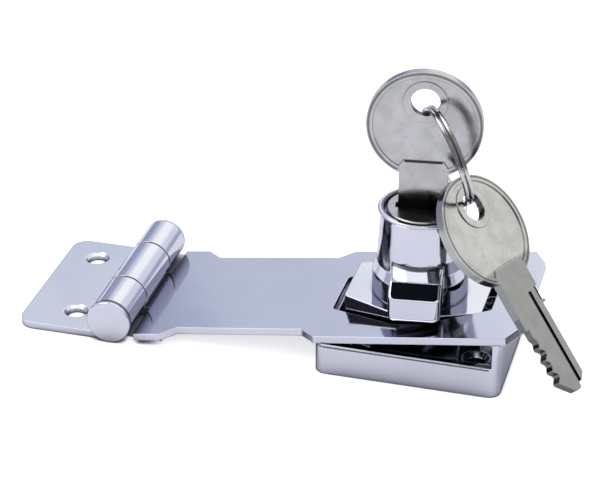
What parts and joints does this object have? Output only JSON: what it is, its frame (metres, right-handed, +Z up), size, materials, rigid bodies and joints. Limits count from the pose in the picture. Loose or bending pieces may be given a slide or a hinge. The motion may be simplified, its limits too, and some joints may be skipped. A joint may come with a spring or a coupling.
{
  "type": "cabinet lock",
  "caption": "Keyed hasp lock for a cabinet door: hinged strap, turning knob with a wafer lock, and keys on a split ring.",
  "frame": {"origin": "on the mounting plane under the knob's axis, at the centre of the base's four screw holes", "axes": "+X along the strap towards its free end, +Y to the back, +Z up out of the mounting plane"},
  "size_m": [0.1241, 0.0413, 0.0637],
  "materials": {
    "cast_chrome": "bright chrome over die casting",
    "strap_chrome": "bright chrome over sheet steel",
    "pin_chrome": "bright chrome over steel",
    "shell_zinc": "satin zinc casting",
    "plug_nickel": "nickel plated",
    "plain_steel": "zinc plated steel",
    "key_nickel": "nickel plated brass",
    "ring_steel": "nickel plated spring steel",
    "wafer_brass": "stamped brass"
  },
  "bodies": {
    "base": {"lock_base": "cast_chrome", "hasp_strap": "strap_chrome"},
    "leaf": {"hinge_leaf": "strap_chrome", "hinge_pin": "pin_chrome"},
    "knob": {"knob_body": "cast_chrome", "cylinder_shell": "shell_zinc", "knob_retaining_plate": "plain_steel", "plate_screws": "plain_steel"},
    "plug": {"lock_plug": "plug_nickel", "plug_clip": "plain_steel", "drive_cam": "plain_steel", "wafer_springs": "plain_steel"},
    "bolt": {"locking_bolt": "plain_steel"},
    "key": {"key_in_lock": "key_nickel"},
    "ring": {"split_ring": "ring_steel"},
    "spare": {"spare_key": "key_nickel"},
    "wafer_1_body": {"wafer_1": "wafer_brass"},
    "wafer_2_body": {"wafer_2": "wafer_brass"},
    "wafer_3_body": {"wafer_3": "wafer_brass"},
    "wafer_4_body": {"wafer_4": "wafer_brass"},
    "wafer_5_body": {"wafer_5": "wafer_brass"}
  },
  "joints": [
    {"name": "leaf_hinge", "type": "hinge", "parent": "base", "child": "leaf", "pos_m": [-0.0644, 0, 0.0049], "axis": [0, 1, 0], "range_deg": [-90, 182]},
    {"name": "knob_turn", "type": "hinge", "parent": "base", "child": "knob", "pos_m": [0, 0, 0.02], "axis": [0, 0, 1], "range_deg": [0, 82.5]},
    {"name": "plug_turn", "type": "hinge", "parent": "knob", "child": "plug", "pos_m": [0, 0, 0.02], "axis": [0, 0, 1], "range_deg": [-90, 0]},
    {"name": "bolt_slide", "type": "slide", "parent": "knob", "child": "bolt", "axis": [0.1305, -0.9914, 0], "range_m": [0, 0.0026]},
    {"name": "key_slide", "type": "slide", "parent": "plug", "child": "key", "axis": [0, 0, 1], "range_m": [0, 0.02]},
    {"name": "ring_swing", "type": "hinge", "parent": "key", "child": "ring", "pos_m": [0.00104, 0.00014, 0.0552], "axis": [0.4284, -0.8601, 0.277], "range_deg": [0, 130]},
    {"name": "spare_key_swing", "type": "hinge", "parent": "ring", "child": "spare", "pos_m": [0.00906, -0.00221, 0.03551], "axis": [0.4284, -0.8601, 0.277], "range_deg": [0, 40]},
    {"name": "wafer_1_slide", "type": "slide", "parent": "plug", "child": "wafer_1_body", "axis": [0.9914, 0.1305, 0], "range_m": [0, 0.0007]},
    {"name": "wafer_2_slide", "type": "slide", "parent": "plug", "child": "wafer_2_body", "axis": [0.9914, 0.1305, 0], "range_m": [0, 0.0007]},
    {"name": "wafer_3_slide", "type": "slide", "parent": "plug", "child": "wafer_3_body", "axis": [0.9914, 0.1305, 0], "range_m": [0, 0.0007]},
    {"name": "wafer_4_slide", "type": "slide", "parent": "plug", "child": "wafer_4_body", "axis": [0.9914, 0.1305, 0], "range_m": [0, 0.0007]},
    {"name": "wafer_5_slide", "type": "slide", "parent": "plug", "child": "wafer_5_body", "axis": [0.9914, 0.1305, 0], "range_m": [0, 0.0007]}
  ],
  "couplings": [
    {"joint": "bolt_slide", "follows": "plug_turn", "m_per_rad": -0.001655},
    {"joint": "wafer_1_slide", "follows": "key_slide", "ratio": 0.035},
    {"joint": "wafer_2_slide", "follows": "key_slide", "ratio": 0.035},
    {"joint": "wafer_3_slide", "follows": "key_slide", "ratio": 0.035},
    {"joint": "wafer_4_slide", "follows": "key_slide", "ratio": 0.035},
    {"joint": "wafer_5_slide", "follows": "key_slide", "ratio": 0.035}
  ]
}
